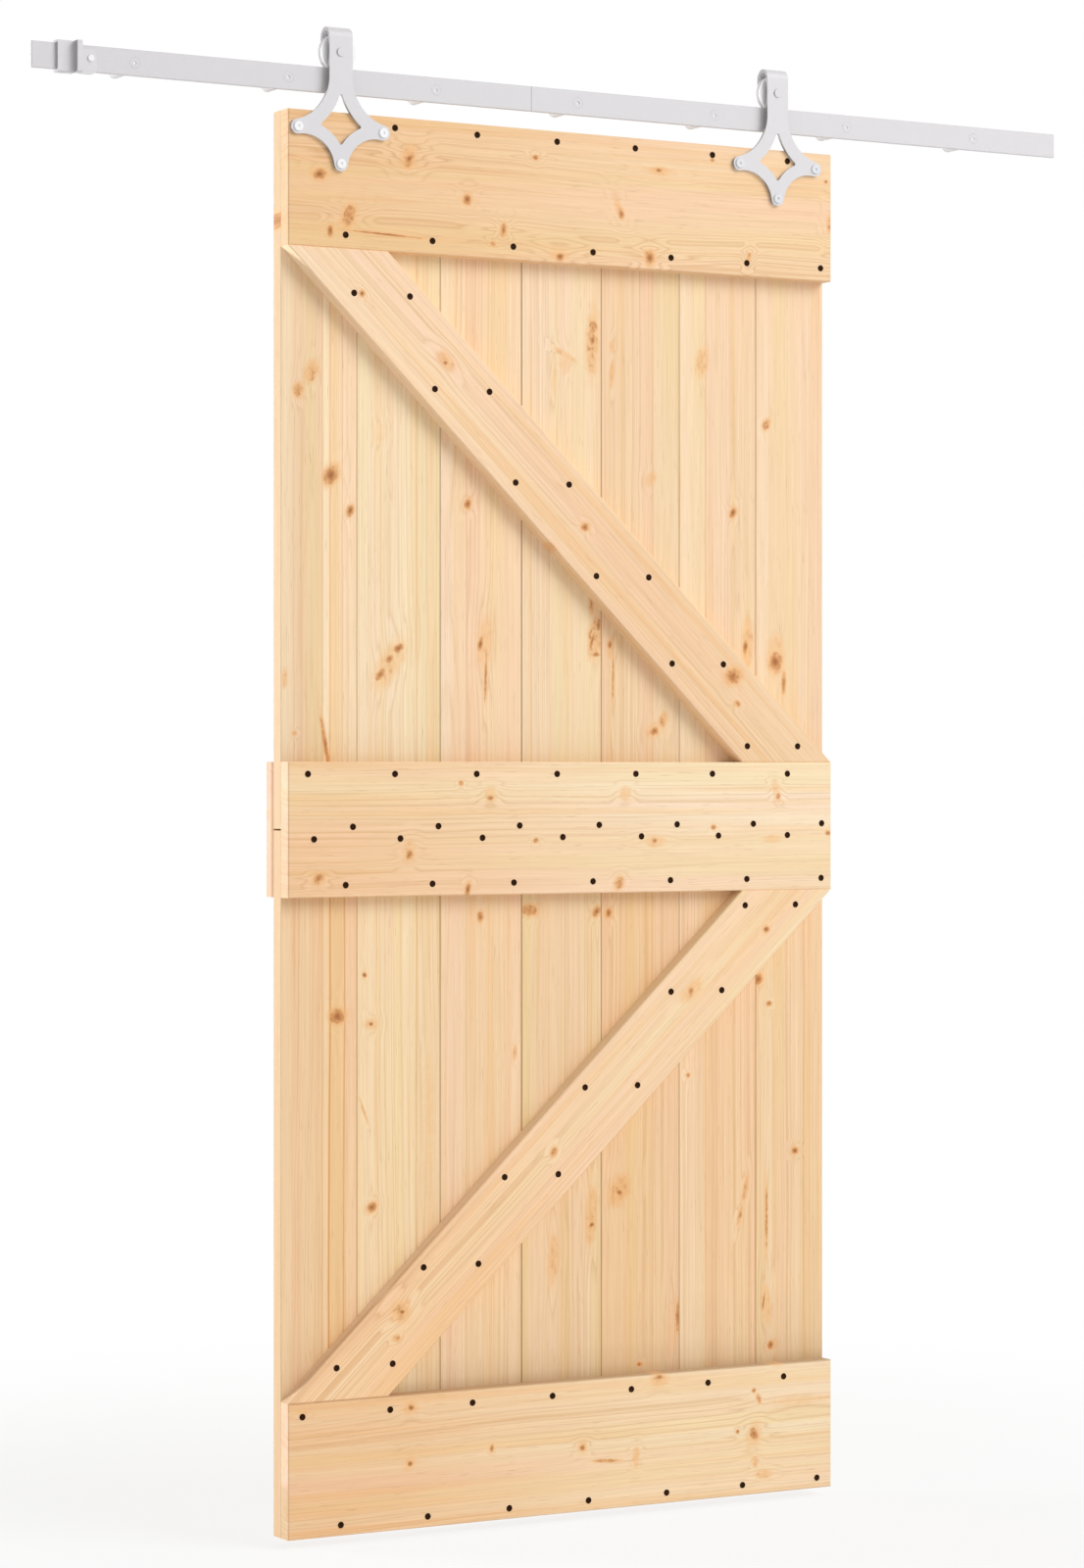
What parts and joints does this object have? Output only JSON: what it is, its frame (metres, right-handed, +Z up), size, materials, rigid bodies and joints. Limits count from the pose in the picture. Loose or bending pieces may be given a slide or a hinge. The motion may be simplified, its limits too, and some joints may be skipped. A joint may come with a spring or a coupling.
{
  "type": "sliding barn door",
  "caption": "Planked pine sliding door with diagonal braces, hung from white star-plate strap hangers whose grooved wheels roll along a flat steel track held off the wall by spacers.",
  "frame": {"origin": "centre of the wall face of the middle track spacer, at mid-height of the track", "axes": "+X along the track to the right seen from the front, +Y into the wall, +Z up"},
  "size_m": [1.79, 0.107, 2.2263],
  "materials": {
    "pine_boards": "planed pine with brown knots, clear matt",
    "pine_rails": "planed pine with brown knots, clear matt",
    "white_paint": "white powder coat, fine satin",
    "white_wheel": "white, satin, worn bright in the groove",
    "plated_steel": "zinc plated",
    "dark_screws": "dark brown, matt"
  },
  "bodies": {
    "track": {"track_left": "white_paint", "track_right": "white_paint", "wall_spacers": "white_paint", "wall_bolts": "plated_steel", "end_stop": "white_paint", "end_stop_bolt": "white_paint"},
    "door": {"upper_board_1": "pine_boards", "upper_board_2": "pine_boards", "upper_board_3": "pine_boards", "upper_board_4": "pine_boards", "upper_board_5": "pine_boards", "upper_board_6": "pine_boards", "upper_board_7": "pine_boards", "lower_board_1": "pine_boards", "lower_board_2": "pine_boards", "lower_board_3": "pine_boards", "lower_board_4": "pine_boards", "lower_board_5": "pine_boards", "lower_board_6": "pine_boards", "lower_board_7": "pine_boards", "top_rail": "pine_rails", "middle_rail_front": "pine_rails", "middle_rail_back": "pine_rails", "bottom_rail": "pine_rails", "upper_brace": "pine_rails", "lower_brace": "pine_rails", "left_hanger_strap": "white_paint", "right_hanger_strap": "white_paint", "left_hanger_bolts": "white_paint", "right_hanger_bolts": "white_paint", "left_axle_bolt": "white_paint", "right_axle_bolt": "white_paint", "left_hanger_nuts": "plated_steel", "right_hanger_nuts": "plated_steel", "left_axle_nut": "plated_steel", "right_axle_nut": "plated_steel"},
    "left_wheel": {"left_wheel": "white_wheel"},
    "right_wheel": {"right_wheel": "white_wheel"}
  },
  "joints": [
    {"name": "door_slide", "type": "slide", "parent": "track", "child": "door", "axis": [1, 0, 0], "range_m": [-0.355, 0.41]},
    {"name": "left_wheel_spin", "type": "hinge", "parent": "door", "child": "left_wheel", "pos_m": [-0.41, -0.073, 0.0413], "axis": [0, 1, 0], "continuous": true},
    {"name": "right_wheel_spin", "type": "hinge", "parent": "door", "child": "right_wheel", "pos_m": [0.353, -0.073, 0.0413], "axis": [0, 1, 0], "continuous": true}
  ],
  "couplings": [
    {"joint": "left_wheel_spin", "follows": "door_slide", "rad_per_m": 45.455},
    {"joint": "right_wheel_spin", "follows": "door_slide", "rad_per_m": 45.455}
  ]
}
